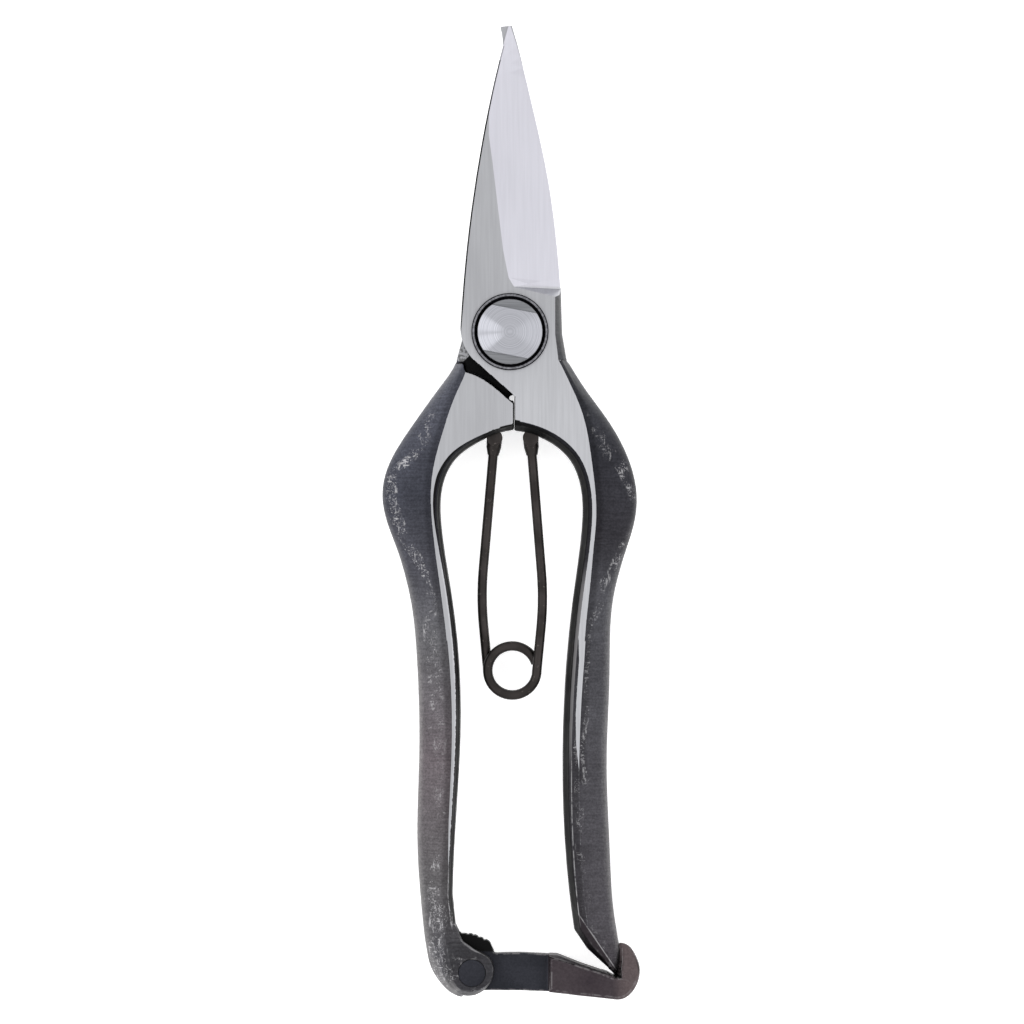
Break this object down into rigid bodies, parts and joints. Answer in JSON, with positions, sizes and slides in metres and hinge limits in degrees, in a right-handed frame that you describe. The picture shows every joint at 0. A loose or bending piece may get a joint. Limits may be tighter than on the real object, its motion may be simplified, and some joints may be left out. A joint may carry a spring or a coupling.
{
  "type": "floral snips",
  "caption": "Forged floral snips with narrow straight blades, a flanged pivot bolt, a coiled wire spring between the handles and a swinging hook latch that holds them shut.",
  "frame": {"origin": "on the pivot axis, in the plane of the pivot nut's underside, on which the snips rest", "axes": "+Y along the shut blades to their tips, +Z out of the front face with the bolt's head, +X to the right seen from the front"},
  "size_m": [0.0486, 0.1837, 0.0131],
  "materials": {
    "forged_steel": "ground bright on the flats, dark forge scale elsewhere",
    "bolt_steel": "turned",
    "blackened_steel": "black oxide",
    "spring_steel": "oil blackened",
    "latch_steel": "dark forge scale"
  },
  "bodies": {
    "right_half": {"front_half": "forged_steel", "pivot_bolt": "bolt_steel", "head_ring": "blackened_steel", "pivot_washer": "blackened_steel", "pivot_nut": "blackened_steel"},
    "left_half": {"back_half": "forged_steel", "latch_rivet": "latch_steel"},
    "spring_right_leg": {"spring_right": "spring_steel", "spring_ferrule_right": "spring_steel"},
    "spring_left_leg": {"spring_left": "spring_steel", "spring_ferrule_left": "spring_steel"},
    "latch": {"latch": "latch_steel"}
  },
  "joints": [
    {"name": "pivot", "type": "hinge", "parent": "right_half", "child": "left_half", "pos_m": [0, 0, 0.0072], "axis": [0, 0, 1], "range_deg": [-30, 0]},
    {"name": "spring_right_seat", "type": "hinge", "parent": "right_half", "child": "spring_right_leg", "pos_m": [0.0039, -0.0199, 0.0072], "axis": [0, 0, 1], "range_deg": [-22, 0]},
    {"name": "spring_left_seat", "type": "hinge", "parent": "left_half", "child": "spring_left_leg", "pos_m": [-0.0029, -0.0199, 0.0072], "axis": [0, 0, 1], "range_deg": [0, 24]},
    {"name": "latch_swing", "type": "hinge", "parent": "left_half", "child": "latch", "pos_m": [-0.00716, -0.1206, 0.0072], "axis": [0, 0, 1], "range_deg": [-60, 0]}
  ],
  "couplings": [
    {"joint": "spring_right_seat", "follows": "pivot", "ratio": 0.684},
    {"joint": "spring_left_seat", "follows": "pivot", "ratio": -0.76}
  ]
}
